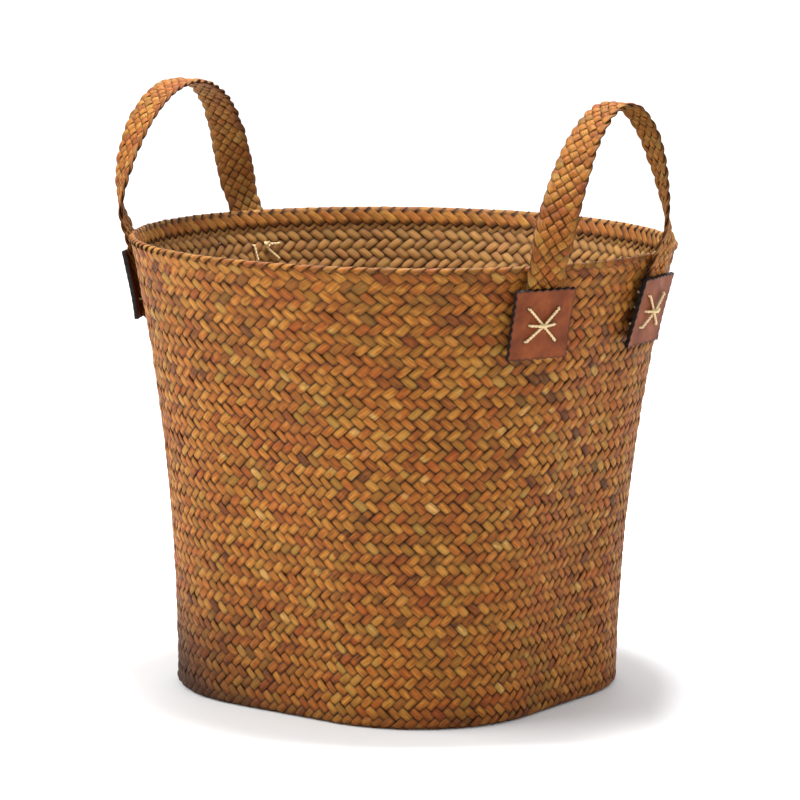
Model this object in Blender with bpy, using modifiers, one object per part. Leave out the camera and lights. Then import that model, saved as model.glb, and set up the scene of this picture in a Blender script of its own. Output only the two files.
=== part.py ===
"""Plaited laundry basket with a rounded-square base, a round mouth and two fold-down strap handles.

Metres, +Z up. The origin is at the centre of the underside and the handles stand near +X and -X.
The wall, the base mat and the rim border are seagrass plait. Each strap end lies outside the rim
and the wall, under a leather patch, and a twine stitch sews patch, strap and wall together.
"""

import math
from typing import NamedTuple

import bmesh
import bpy
from mathutils import Vector

# Wall: its outer face goes from a rounded square at the floor to a circle at the mouth.
# The border adds its skin outside that circle, which makes the mouth 0.4 m across.
RIM_HEIGHT = 0.331
MOUTH_HALF = 0.1994
BASE_HALF = 0.1455
BASE_CORNER = 0.101
WALL_THICKNESS = 0.0036
MAT_THICKNESS = 0.004
GAP = 0.0003
MAT_GAP = 0.0009

# Rim border: the strand ends folded over the wall's edge and over a cane hoop.
BORDER_SKIN = 0.0012
BORDER_OUTER_DEPTH = 0.012
BORDER_INNER_DEPTH = 0.018
HOOP_RADIUS = 0.0015
HOOP_TO_WALL = 0.0007

# Straps: flat plaits whose feet lie outside the border and the wall.
FOOT_WIDTH = 0.0295
APEX_WIDTH = 0.0238
STRAP_THICKNESS = 0.0045
STRAP_GAP = 0.0005
HINGE_RISE = 0.010
TWIST_POWER = 1.5
FOLD_WEDGE = math.radians(44)

# Leather patches, twine stitches and the holes that they share.
PATCH_WIDTH = 0.046
PATCH_HEIGHT = 0.0515
PATCH_DROP = 0.0385
PATCH_THICKNESS = 0.0018
PATCH_GAP = 0.0005
CROSS_HALF = 0.0118
BAR_HALF = 0.0098
TWINE_RADIUS = 0.0008
HOLE_RADIUS = 0.0012
TWINE_STEP = 0.0020
BEND_RADIUS = 0.0011
KNOT_RADIUS = 0.0022


class Handle(NamedTuple):
    """Place of a strap handle round the wall, and the shape of its arch."""

    bearing: float       # of its middle, anticlockwise from +X
    spread: float        # from its middle to each foot at the rim
    patch_lead: float    # of each patch, round from the strap's foot at the rim
    rise: float          # of the arch's top above the fold line
    lean: float          # of the top, outward
    slide: float         # of the top, anticlockwise
    foot_pull: float     # how far the arch goes on in the feet's direction
    apex_pull: float     # how far it runs level at the top


# Each handle is plaited and sewn by hand, so the two differ a little.
RIGHT = Handle(math.radians(-8.0), math.radians(17.5), math.radians(-0.3),
               0.0985, -0.007, 0.014, 0.010, 0.042)
LEFT = Handle(math.radians(186.1), math.radians(23.6), math.radians(-2.9),
              0.0955, 0.0, 0.0, 0.026, 0.061)

AROUND = 64
WALL_ROWS = 9
STRAP_SPLITS = 4

BORDER_IN = WALL_THICKNESS + GAP + BORDER_SKIN / 2
BORDER_OUT = GAP + BORDER_SKIN / 2
BORDER_BEND = (BORDER_IN + BORDER_OUT) / 2
BORDER_CENTRE_Z = RIM_HEIGHT - BORDER_SKIN / 2 - BORDER_BEND
WALL_TOP = BORDER_CENTRE_Z - HOOP_RADIUS - HOOP_TO_WALL
HINGE_Z = RIM_HEIGHT + HINGE_RISE
STRAP_OUT = GAP + BORDER_SKIN + STRAP_GAP + STRAP_THICKNESS / 2
PATCH_OUT = STRAP_OUT + (STRAP_THICKNESS + PATCH_THICKNESS) / 2 + PATCH_GAP
STITCH_BACK = -(WALL_THICKNESS + GAP + TWINE_RADIUS + 0.0006)
PATCH_Z = RIM_HEIGHT - PATCH_DROP

SEAGRASS = ((0.47, 0.25, 0.09), 0.75)
SEAGRASS_DARK = ((0.36, 0.18, 0.06), 0.78)
CANE = ((0.55, 0.38, 0.18), 0.60)
LEATHER = ((0.30, 0.10, 0.04), 0.55)
TWINE = ((0.80, 0.68, 0.48), 0.85)


def remove_everything():
    for obj in list(bpy.data.objects):
        bpy.data.objects.remove(obj, do_unlink=True)


def new_collection(name):
    collection = bpy.data.collections.new(name)
    bpy.context.scene.collection.children.link(collection)
    return collection


def finish(name, colour, roughness):
    material = bpy.data.materials.new(name)
    material.use_nodes = True
    shader = material.node_tree.nodes["Principled BSDF"]
    shader.inputs["Base Color"].default_value = (*colour, 1.0)
    shader.inputs["Roughness"].default_value = roughness
    shader.inputs["Metallic"].default_value = 0.0
    return material


# ---------------------------------------------------------------- the wall's surface

def wall_section(z):
    """Half side and corner radius of the wall's outer face at height z."""
    growth = (z / RIM_HEIGHT) ** 2
    half = BASE_HALF + (MOUTH_HALF - BASE_HALF) * growth
    corner = min(BASE_CORNER + (MOUTH_HALF - BASE_CORNER) * growth, half)
    return half, corner


def perimeter(z):
    half, corner = wall_section(z)
    return 8 * (half - corner) + 2 * math.pi * corner


def outline_point(half, corner, turn):
    """Point of a rounded square, a given part of the way round it from +X, anticlockwise."""
    flat = half - corner
    side = 2 * flat + corner * math.pi / 2
    quarter, along = divmod((turn % 1.0) * 4.0, 1.0)
    along *= side
    if along < flat:
        x, y = half, along
    elif along < side - flat:
        angle = (along - flat) / corner
        x = flat + corner * math.cos(angle)
        y = flat + corner * math.sin(angle)
    else:
        x, y = side - along, half
    for _ in range(int(quarter)):
        x, y = -y, x
    return x, y


def wall_point(turn, z):
    half, corner = wall_section(z)
    return Vector((*outline_point(half, corner, turn), z))


def wall_frame(turn, z):
    """Point of the wall's outer face, with its directions across, up along it and outward."""
    step = 1e-4
    across = (wall_point(turn + step, z) - wall_point(turn - step, z)).normalized()
    along = (wall_point(turn, z + step) - wall_point(turn, z - step)).normalized()
    outward = across.cross(along).normalized()
    return wall_point(turn, z), across, outward.cross(across), outward


def offset_point(turn, z, distance):
    point, _, _, outward = wall_frame(turn, z)
    return point + outward * distance


# ---------------------------------------------------------------- object helpers

def add_mesh(name, mesh, collection, material=None, origin=(0, 0, 0)):
    obj = bpy.data.objects.new(name, mesh)
    obj.location = origin
    collection.objects.link(obj)
    if material:
        mesh.materials.append(material)
    return obj


def sheet_mesh(name, rows, wrap=False):
    """Open surface through rows of points; wrap joins each row's last point to its first."""
    bm = bmesh.new()
    grid = [[bm.verts.new(point) for point in row] for row in rows]
    count = len(grid[0])
    for low, high in zip(grid, grid[1:]):
        for i in range(count if wrap else count - 1):
            j = (i + 1) % count
            bm.faces.new((low[i], low[j], high[j], high[i]))
    mesh = bpy.data.meshes.new(name)
    bm.to_mesh(mesh)
    bm.free()
    return mesh


def thicken(obj, thickness, offset=0.0):
    solidify = obj.modifiers.new("thickness", "SOLIDIFY")
    solidify.thickness = thickness
    solidify.offset = offset


def smooth(obj, angle=40):
    obj.data.shade_smooth()
    obj.data.set_sharp_from_angle(angle=math.radians(angle))


def cut(obj, cutters):
    for cutter in cutters:
        boolean = obj.modifiers.new(cutter.name, "BOOLEAN")
        boolean.operation = "DIFFERENCE"
        boolean.object = cutter


def tube(name, points, radius, collection, material, closed=False):
    """Round tube along points, with capped ends unless it is closed."""
    curve = bpy.data.curves.new(name, "CURVE")
    curve.dimensions = "3D"
    curve.bevel_depth = radius
    curve.bevel_resolution = 2
    curve.use_fill_caps = not closed
    spline = curve.splines.new("POLY")
    spline.points.add(len(points) - 1)
    for target, point in zip(spline.points, points):
        target.co = (*point, 1.0)
    spline.use_cyclic_u = closed
    curve.materials.append(material)
    obj = bpy.data.objects.new(name, curve)
    collection.objects.link(obj)
    return obj


# ---------------------------------------------------------------- woven body

def base_mat(parts, material):
    half = BASE_HALF - WALL_THICKNESS - MAT_GAP
    corner = BASE_CORNER - WALL_THICKNESS - MAT_GAP
    bm = bmesh.new()
    ring = [bm.verts.new((*outline_point(half, corner, i / AROUND), 0)) for i in range(AROUND)]
    bm.faces.new(ring)
    mesh = bpy.data.meshes.new("base_mat")
    bm.to_mesh(mesh)
    bm.free()
    mat = add_mesh("base_mat", mesh, parts, material)
    thicken(mat, MAT_THICKNESS, offset=1.0)
    return mat


def wall(parts, material, cutters):
    rows = []
    for k in range(WALL_ROWS + 1):
        z = WALL_TOP * k / WALL_ROWS
        rows.append([wall_point(i / AROUND, z) for i in range(AROUND)])
    body = add_mesh("wall", sheet_mesh("wall", rows, wrap=True), parts, material)
    thicken(body, WALL_THICKNESS, offset=-1.0)
    cut(body, cutters)
    smooth(body)
    return body


def border_profile():
    """Distance from the wall's outer face and height, from the inner lip over to the outer lip."""
    middle = (BORDER_OUT - BORDER_IN) / 2
    profile = [(-BORDER_IN, RIM_HEIGHT - BORDER_INNER_DEPTH), (-BORDER_IN, RIM_HEIGHT - 0.010)]
    bends = 4
    for k in range(bends + 1):
        angle = math.pi * (1 - k / bends)
        profile.append((middle + BORDER_BEND * math.cos(angle),
                        BORDER_CENTRE_Z + BORDER_BEND * math.sin(angle)))
    profile.append((BORDER_OUT, RIM_HEIGHT - BORDER_OUTER_DEPTH))
    return profile


def rim_border(parts, material):
    rows = []
    for distance, z in border_profile():
        rows.append([offset_point(i / AROUND, z, distance) for i in range(AROUND)])
    border = add_mesh("rim_border", sheet_mesh("rim_border", rows, wrap=True), parts, material)
    thicken(border, BORDER_SKIN)
    smooth(border)
    return border


def rim_hoop(parts, material):
    middle = (BORDER_OUT - BORDER_IN) / 2
    points = [offset_point(i / AROUND, BORDER_CENTRE_Z, middle) for i in range(AROUND)]
    return tube("rim_hoop", points, HOOP_RADIUS, parts, material, closed=True)


# ---------------------------------------------------------------- strap handles

def foot_turn(handle, end, z):
    """Place round the wall of a strap foot at height z: it leans from its patch to the rim.

    end is -1 for a handle's clockwise foot and +1 for the other.
    """
    share = (z - PATCH_Z) / (HINGE_Z - PATCH_Z)
    angle = handle.bearing + handle.patch_lead * (1 - share) + end * handle.spread
    return angle / (2 * math.pi)


def foot_point(handle, end, z, offset):
    """Point of a strap foot's middle surface; offset is measured across the strap."""
    turn = foot_turn(handle, end, z) + offset / perimeter(z)
    return offset_point(turn, z, STRAP_OUT)


def strap_shares():
    """Places across a strap, from -0.5 to 0.5 of its width."""
    return [k / STRAP_SPLITS - 0.5 for k in range(STRAP_SPLITS + 1)]


def clear_of_fold(handle, point):
    """How far a point stands outside the wedge kept free round the fold line."""
    radial, _ = handle_axes(handle)
    from_fold = point - hinge_point(handle)
    lever = abs(from_fold.dot(radial)) + STRAP_THICKNESS / 2
    return abs(from_fold.z) - GAP - lever / math.tan(FOLD_WEDGE)


def last_clear(handle, path, inside, outside):
    """Parameter where a path of points meets the wedge, from one clear of it to one in it."""
    for _ in range(30):
        middle = (inside + outside) / 2
        if clear_of_fold(handle, path(middle)) > 0:
            outside = middle
        else:
            inside = middle
    return outside


def strap_tail(name, handle, end, parts, material, cutter):
    """The sewn end of a strap, from under its patch up to the fold line."""
    rungs = 7
    bottom = PATCH_Z - PATCH_HEIGHT / 2 + 0.002
    columns = []
    for share in strap_shares():
        def column(z, share=share):
            return foot_point(handle, end, z, share * FOOT_WIDTH)
        top = last_clear(handle, column, HINGE_Z, PATCH_Z)
        columns.append([column(bottom + (top - bottom) * r / rungs) for r in range(rungs + 1)])
    rows = list(zip(*columns))
    tail = add_mesh(name, sheet_mesh(name, rows), parts, material)
    thicken(tail, STRAP_THICKNESS)
    cut(tail, [cutter])
    smooth(tail)
    return tail


def handle_axes(handle):
    radial = Vector((math.cos(handle.bearing), math.sin(handle.bearing), 0))
    tangent = Vector((-math.sin(handle.bearing), math.cos(handle.bearing), 0))
    return radial, tangent


def hinge_point(handle):
    ends = [foot_point(handle, end, HINGE_Z, 0) for end in (-1, 1)]
    return (ends[0] + ends[1]) / 2


def arch_point(handle, v):
    """Middle of the arch at v from -1 to 1, and the strap's width direction there."""
    radial, tangent = handle_axes(handle)
    end = -1 if v < 0 else 1
    t = 1 - abs(v)
    foot = foot_point(handle, end, HINGE_Z, 0)
    rise = (foot - foot_point(handle, end, HINGE_Z - 0.002, 0)).normalized()
    apex = (hinge_point(handle) + radial * handle.lean + tangent * handle.slide
            + Vector((0, 0, handle.rise)))
    controls = (foot, foot + rise * handle.foot_pull,
                apex + tangent * (end * handle.apex_pull), apex)
    weights = ((1 - t) ** 3, 3 * (1 - t) ** 2 * t, 3 * (1 - t) * t ** 2, t ** 3)
    centre = Vector()
    for weight, control in zip(weights, controls):
        centre += control * weight
    turned = -math.copysign((math.pi / 2 - handle.spread) * abs(v) ** TWIST_POWER, v)
    width = radial * math.cos(turned) + tangent * math.sin(turned)
    return centre, width


def arch_edge(handle, v, share):
    """Point of the arch's middle surface; share is its place across the strap's width."""
    step = 1e-3
    ahead = arch_point(handle, min(v + step, 1))[0]
    behind = arch_point(handle, max(v - step, -1))[0]
    heading = (ahead - behind).normalized()
    centre, width = arch_point(handle, v)
    width = (width - heading * width.dot(heading)).normalized()
    return centre + width * share * (APEX_WIDTH + (FOOT_WIDTH - APEX_WIDTH) * abs(v))


def strap_arch(name, handle, parts, material):
    """The moving part of a handle. Its origin is on the fold line, between its two feet."""
    origin = hinge_point(handle)
    stations = 32
    columns = []
    for share in strap_shares():
        def column(v, share=share):
            return arch_edge(handle, v, share)
        first = last_clear(handle, column, -1, -0.5)
        last = last_clear(handle, column, 1, 0.5)
        columns.append([column(first + (last - first) * s / stations) - origin
                        for s in range(stations + 1)])
    rows = list(zip(*columns))
    arch = add_mesh(name, sheet_mesh(name, rows), parts, material, origin)
    thicken(arch, STRAP_THICKNESS)
    smooth(arch)
    return arch


# ---------------------------------------------------------------- patches and stitches

def patch_frame(handle, end):
    return wall_frame(foot_turn(handle, end, PATCH_Z), PATCH_Z)


def leather_patch(name, handle, end, parts, material, cutter):
    turn = foot_turn(handle, end, PATCH_Z)
    _, _, up, _ = patch_frame(handle, end)
    columns, steps = 6, 4
    rows = []
    for r in range(steps + 1):
        z = PATCH_Z + PATCH_HEIGHT * up.z * (r / steps - 0.5)
        row = []
        for c in range(columns + 1):
            offset = PATCH_WIDTH * (c / columns - 0.5)
            row.append(offset_point(turn + offset / perimeter(z), z, PATCH_OUT))
        rows.append(row)
    patch = add_mesh(name, sheet_mesh(name, rows), parts, material)
    thicken(patch, PATCH_THICKNESS)
    cut(patch, [cutter])
    smooth(patch)
    return patch


def stitch_holes():
    """The six hole places of a stitch, across and up from the patch's middle."""
    c = CROSS_HALF
    return {"top_left": (-c, c), "top_right": (c, c), "bottom_left": (-c, -c),
            "bottom_right": (c, -c), "bar_left": (-BAR_HALF, 0), "bar_right": (BAR_HALF, 0)}


def hole_cutter(name, handle, end, cutters):
    """Six parallel drills through a patch, the strap under it and the wall."""
    centre, across, up, outward = patch_frame(handle, end)
    length = 0.030
    bm = bmesh.new()
    for x, y in stitch_holes().values():
        drill = bmesh.ops.create_cone(bm, cap_ends=True, segments=8, radius1=HOLE_RADIUS,
                                      radius2=HOLE_RADIUS, depth=length)
        turn = outward.to_track_quat("Z", "Y").to_matrix()
        place = centre + across * x + up * y + outward * 0.002
        for vert in drill["verts"]:
            vert.co = turn @ vert.co + place
    mesh = bpy.data.meshes.new(name)
    bm.to_mesh(mesh)
    bm.free()
    obj = add_mesh(name, mesh, cutters)
    obj.hide_render = True
    obj.display_type = "WIRE"
    return obj


def rounded(points, radius):
    """The same path with each corner replaced by a short bend."""
    path = [points[0]]
    for before, corner, after in zip(points, points[1:], points[2:]):
        first = corner + (before - corner).normalized() * radius
        last = corner + (after - corner).normalized() * radius
        path += [first, (first + last) / 4 + corner / 2, last]
    return path + [points[-1]]


def stitch_path(handle, end):
    """One length of twine: an X and then a bar over it, with both of its ends inside."""
    centre, across, up, outward = patch_frame(handle, end)
    front = PATCH_OUT + PATCH_THICKNESS / 2 + GAP + TWINE_RADIUS
    holes = stitch_holes()

    def at(hole, depth):
        x, y = holes[hole]
        return centre + across * x + up * y + outward * depth

    def crossing(level):
        return centre + outward * (front + level * TWINE_STEP)

    tie = KNOT_RADIUS + GAP + TWINE_RADIUS
    back = STITCH_BACK
    knot_left = centre + up * CROSS_HALF - across * tie + outward * back
    knot_below = centre + up * (CROSS_HALF - tie) + outward * back
    corners = [knot_left, at("top_left", back), at("top_left", front),
               at("bottom_right", front), at("bottom_right", back), at("bottom_left", back),
               at("bottom_left", front), crossing(1), at("top_right", front),
               at("top_right", back), at("bar_right", back), at("bar_right", front),
               crossing(2), at("bar_left", front), at("bar_left", back), knot_below]
    return rounded(corners, BEND_RADIUS)


def inner_knot(name, handle, end, parts, material):
    centre, _, up, outward = patch_frame(handle, end)
    place = centre + up * CROSS_HALF + outward * (STITCH_BACK - KNOT_RADIUS / 3)
    bm = bmesh.new()
    bmesh.ops.create_uvsphere(bm, u_segments=12, v_segments=8, radius=KNOT_RADIUS)
    mesh = bpy.data.meshes.new(name)
    bm.to_mesh(mesh)
    bm.free()
    knot = add_mesh(name, mesh, parts, material, place)
    smooth(knot)
    return knot


# ---------------------------------------------------------------- assembly

def build():
    remove_everything()
    parts = new_collection("laundry_basket_woven")
    cutters = new_collection("cutters")
    feet = [(RIGHT, -1, "right_front"), (RIGHT, 1, "right_back"),
            (LEFT, -1, "left_back"), (LEFT, 1, "left_front")]
    drills = {foot: hole_cutter("drill_" + foot[2], foot[0], foot[1], cutters) for foot in feet}

    base_mat(parts, finish("base_plait", *SEAGRASS_DARK))
    wall(parts, finish("wall_plait", *SEAGRASS), list(drills.values()))
    rim_border(parts, finish("border_plait", *SEAGRASS_DARK))
    rim_hoop(parts, finish("hoop_cane", *CANE))

    for foot in feet:
        handle, end, place = foot
        strap_tail(place + "_strap_end", handle, end, parts,
                   finish(place + "_strap_end", *SEAGRASS), drills[foot])
        leather_patch(place + "_patch", handle, end, parts,
                      finish(place + "_leather", *LEATHER), drills[foot])
        tube(place + "_stitch", stitch_path(handle, end), TWINE_RADIUS, parts,
             finish(place + "_twine", *TWINE))
        inner_knot(place + "_knot", handle, end, parts, finish(place + "_knot_twine", *TWINE))

    for handle, name in ((RIGHT, "right_handle"), (LEFT, "left_handle")):
        strap_arch(name, handle, parts, finish(name + "_plait", *SEAGRASS))


build()
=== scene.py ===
"""Looks of the plaited laundry basket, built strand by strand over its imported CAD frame.

Metres, +Z up, in the frame's own coordinates. The wall is a 2/2 twill of two sets of strands,
the straps are seven-strand braids, and the surface formulas repeat those of the CAD part.
"""

import math
from typing import NamedTuple

import bmesh
import bpy
import numpy as np
from mathutils import Matrix, Vector


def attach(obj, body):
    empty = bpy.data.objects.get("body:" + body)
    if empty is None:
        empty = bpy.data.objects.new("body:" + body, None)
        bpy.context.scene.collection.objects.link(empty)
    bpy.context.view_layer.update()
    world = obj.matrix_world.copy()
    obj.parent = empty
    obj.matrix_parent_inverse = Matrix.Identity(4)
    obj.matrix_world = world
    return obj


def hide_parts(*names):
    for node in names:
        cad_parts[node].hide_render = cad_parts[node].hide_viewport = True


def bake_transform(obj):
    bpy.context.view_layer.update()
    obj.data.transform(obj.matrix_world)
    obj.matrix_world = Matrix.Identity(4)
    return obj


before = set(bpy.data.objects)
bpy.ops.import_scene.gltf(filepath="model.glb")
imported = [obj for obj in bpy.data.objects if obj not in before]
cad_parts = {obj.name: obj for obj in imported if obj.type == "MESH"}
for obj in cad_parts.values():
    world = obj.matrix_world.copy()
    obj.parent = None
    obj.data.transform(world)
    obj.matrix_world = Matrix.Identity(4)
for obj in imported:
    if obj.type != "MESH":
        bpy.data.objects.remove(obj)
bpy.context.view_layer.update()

# ---------------------------------------------------------------- sizes shared with the CAD part

RIM_HEIGHT = 0.331
MOUTH_HALF = 0.1994
BASE_HALF = 0.1455
BASE_CORNER = 0.101

FOOT_WIDTH = 0.0295
APEX_WIDTH = 0.0238
STRAP_OUT = 0.00425      # the strap's middle, outside the wall's outer face
HINGE_Z = RIM_HEIGHT + 0.010
TWIST_POWER = 1.5

PATCH_WIDTH = 0.046
PATCH_HEIGHT = 0.0515
PATCH_Z = RIM_HEIGHT - 0.0385
PATCH_THICKNESS = 0.0030 # thicker than the CAD part's, with the same outer face
PATCH_OUT = 0.0073       # the leather's middle, outside the wall's outer face
CROSS_HALF = 0.0118
BAR_HALF = 0.0098
HOLE_RADIUS = 0.0012
TWINE_STEP = 0.0020      # from one run of twine to the next where they cross
TWINE_RADIUS = 0.0008
STITCH_BACK = -0.0053    # the twine's middle inside the wall, from the wall's outer face
KNOT_RADIUS = 0.0022


class Handle(NamedTuple):
    """Place of a strap handle round the wall, and the shape of its arch."""

    bearing: float
    spread: float
    patch_lead: float
    rise: float
    lean: float
    slide: float
    foot_pull: float
    apex_pull: float


RIGHT = Handle(math.radians(-8.0), math.radians(17.5), math.radians(-0.3),
               0.0985, -0.007, 0.014, 0.010, 0.042)
LEFT = Handle(math.radians(186.1), math.radians(23.6), math.radians(-2.9),
              0.0955, 0.0, 0.0, 0.026, 0.061)

# ---------------------------------------------------------------- sizes of the weave

STRANDS = 124            # in each direction, round the wall
ROW = 0.003725           # height of one row of crossings
ROW_SHIFT = 0.57         # rows below the floor, which puts a falling row under the rim
WEAVE_DEPTH = 0.0018     # the weave's middle, inside the wall's outer face
WEAVE_SWING = 0.00085    # how far a strand swings to each side of that middle
STRAND_THICK = 0.0016
STRAND_FILL = 1.13       # share of its lane that a strand fills
BOTTOM_BEND = 0.0045     # radius of the wall's turn under the base
BOTTOM_TUCK = 0.0085     # length of strand that lies flat under the base
RIM_BEND = 0.0026        # radius of the fold over the rim
RIM_TOP = 0.3277         # height where that fold starts
RIM_ROW = 87.5           # row where the rising strands come out to go over the rim
WALL_PIECES = 8          # pieces that each set of wall strands is shared between
STRAND_RUN = 1.45        # length of strand for each unit of height

RNG = np.random.default_rng(7)


def smoothstep(low, high, value):
    t = np.clip((value - low) / (high - low), 0, 1)
    return t * t * (3 - 2 * t)


def soft(wave, gain=1.7):
    """A wave with flatter tops and steeper sides."""
    return np.tanh(gain * wave) / math.tanh(gain)


def wander(count, length, knots, size):
    """Smooth random curves, one for each strand."""
    values = RNG.normal(0, 1, (count, knots + 4))
    at = np.linspace(0, knots, length)
    low = at.astype(int)
    t = at - low
    a, b, c, d = (values[:, low + k] for k in range(4))
    curve = (a * (1 - t) ** 3 + b * (3 * t ** 3 - 6 * t ** 2 + 4)
             + c * (-3 * t ** 3 + 3 * t ** 2 + 3 * t + 1) + d * t ** 3) / 6
    return size * curve


# ---------------------------------------------------------------- the wall's surface

def section(z):
    growth = (z / RIM_HEIGHT) ** 2
    half = BASE_HALF + (MOUTH_HALF - BASE_HALF) * growth
    corner = np.minimum(BASE_CORNER + (MOUTH_HALF - BASE_CORNER) * growth, half)
    return half, corner


def perimeter(z):
    half, corner = section(z)
    return 8 * (half - corner) + 2 * math.pi * corner


def wall_point(turn, z):
    """Points of the wall's outer face; turn goes from 0 to 1 round it from +X, anticlockwise."""
    half, corner = section(z)
    flat = half - corner
    side = 2 * flat + corner * math.pi / 2
    quarter, along = np.divmod(np.mod(turn, 1.0) * 4.0, 1.0)
    along = along * side
    angle = (along - flat) / corner
    bend, second = along >= flat, along >= side - flat
    x = np.where(second, side - along, np.where(bend, flat + corner * np.cos(angle), half))
    y = np.where(second, half, np.where(bend, flat + corner * np.sin(angle), along))
    for k in (1, 2, 3):
        turned = quarter >= k
        x, y = np.where(turned, -y, x), np.where(turned, x, y)
    return np.stack([x, y, z + 0 * x], -1)


def unit(v):
    return v / np.linalg.norm(v, axis=-1, keepdims=True)


def wall_frame(turn, z):
    """Points of the wall's outer face with their directions across, up along it and outward."""
    turn, z = np.broadcast_arrays(np.asarray(turn, float), np.asarray(z, float))
    step = 1e-4
    across = unit(wall_point(turn + step, z) - wall_point(turn - step, z))
    along = wall_point(turn, z + step) - wall_point(turn, z - step)
    outward = unit(np.cross(across, along))
    return wall_point(turn, z), across, np.cross(outward, across), outward


def offset_point(turn, z, distance):
    point, _, _, outward = wall_frame(turn, z)
    return point + outward * np.asarray(distance)[..., None]


def weave_point(turn, q, offset):
    """Place for a point of the wall's weave.

    q is its height, running on below 0 under the base and above RIM_TOP over the rim and down
    inside it. offset is its distance outside the wall's outer face.
    """
    quarter_turn = BOTTOM_BEND * math.pi / 2
    bend = np.clip((BOTTOM_BEND - q) / BOTTOM_BEND, 0, math.pi / 2)
    flat = np.clip(BOTTOM_BEND - quarter_turn - q, 0, None)
    over = np.clip((q - RIM_TOP) / RIM_BEND, 0, math.pi)
    down = np.clip(q - RIM_TOP - RIM_BEND * math.pi, 0, None)
    z = np.where(over >= math.pi, RIM_TOP - down, np.clip(q, BOTTOM_BEND, RIM_TOP))
    point, _, up, outward = wall_frame(turn, z)
    level = unit(outward * np.array([1, 1, 0]))

    low = point - level * (BOTTOM_BEND * (1 - np.cos(bend)) + flat)[..., None]
    low[..., 2] = BOTTOM_BEND * (1 - np.sin(bend))
    facing = level * np.cos(bend)[..., None]
    facing[..., 2] = -np.sin(bend)
    low = low + facing * offset[..., None]
    low[..., 2] = np.maximum(low[..., 2], 0.0)

    swing = outward * np.cos(over)[..., None] + up * np.sin(over)[..., None]
    high = point - outward * WEAVE_DEPTH + swing * (offset + WEAVE_DEPTH)[..., None]
    return np.where((q < BOTTOM_BEND)[..., None], low, high)


# ---------------------------------------------------------------- meshes

# A strand's cross section: places across it, from -1 to 1, and heights, from -1 to 1.
RING = np.array([(-1, 0.0), (-0.76, 0.76), (0, 1), (0.76, 0.76),
                 (1, 0.0), (0.76, -0.76), (0, -1), (-0.76, -0.76)])


def strand_mesh(name, strands, fields, material, body="root"):
    """One mesh of closed strands. Each is an array (stations, ring, 3); fields hold its values."""
    starts = np.cumsum([0] + [s.shape[0] * s.shape[1] for s in strands])
    quads, caps = [], []
    for start, strand in zip(starts, strands):
        stations, ring = strand.shape[:2]
        index = start + np.arange(stations * ring).reshape(stations, ring)
        after = np.roll(index, -1, axis=1)
        quads.append(np.stack([index[:-1], after[:-1], after[1:], index[1:]], -1).reshape(-1, 4))
        caps += [index[0][::-1], index[-1]]
    quads, caps = np.concatenate(quads), np.array(caps)
    points = np.concatenate([s.reshape(-1, 3) for s in strands])
    a, b, c, d = (points[quads[:, k]] for k in range(4))
    middle = points.mean(0)
    volume = np.einsum("ij,ij->", (a + b + c + d) / 4 - middle, np.cross(c - a, d - b))
    if volume < 0:
        quads, caps = quads[:, ::-1], caps[:, ::-1]

    mesh = bpy.data.meshes.new(name)
    mesh.vertices.add(len(points))
    mesh.vertices.foreach_set("co", points.astype(np.float32).ravel())
    corners = np.concatenate([quads.ravel(), caps.ravel()])
    mesh.loops.add(len(corners))
    mesh.loops.foreach_set("vertex_index", corners.astype(np.int32))
    sizes = np.concatenate([np.full(len(quads), 4), np.full(len(caps), caps.shape[1])])
    mesh.polygons.add(len(sizes))
    mesh.polygons.foreach_set("loop_start", (np.cumsum(sizes) - sizes).astype(np.int32))
    mesh.update(calc_edges=True)
    mesh.validate()
    mesh.shade_smooth()
    values = {key: np.concatenate([f[key].reshape(-1) for f in fields]) for key in fields[0]}
    # painted shade: darker along the floor, at one bottom corner, and over the rim and straps
    values["painted_shade"] = painted_shade(points)
    for key, value in values.items():
        layer = mesh.attributes.new(key, "FLOAT", "POINT")
        layer.data.foreach_set("value", value.astype(np.float32))
    mesh.materials.append(material)
    obj = bpy.data.objects.new(name, mesh)
    bpy.context.scene.collection.objects.link(obj)
    if body:
        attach(obj, body)
    return obj


def painted_shade(points):
    """Painted shade on the strands: darker along the floor, most at one bottom corner, and over
    the rim and the straps above it.
    """
    x, y, z = points.T
    corner = np.exp(-((x + 0.125) ** 2 + (y + 0.125) ** 2) / 0.0085)
    dark = 1.05 * corner * smoothstep(0.11, 0.0, z) + 0.35 * smoothstep(0.018, 0.0, z)
    return np.minimum(dark + 0.22 * smoothstep(RIM_HEIGHT - 0.010, RIM_HEIGHT, z), 0.95)


def strand_fields(along, across, identity, tone, depth, inner):
    shape = np.broadcast_shapes(*(np.shape(v) for v in (along, across, tone, depth, inner)))
    values = {"along": along, "across": across, "identity": identity, "tone": tone,
              "depth": depth, "inner": inner}
    return {key: np.broadcast_to(np.asarray(v, float), shape) for key, v in values.items()}


# ---------------------------------------------------------------- materials

def srgb(r, g, b):
    def linear(v):
        v /= 255
        return v / 12.92 if v <= 0.04045 else ((v + 0.055) / 1.055) ** 2.4
    return (linear(r), linear(g), linear(b), 1.0)


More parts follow.
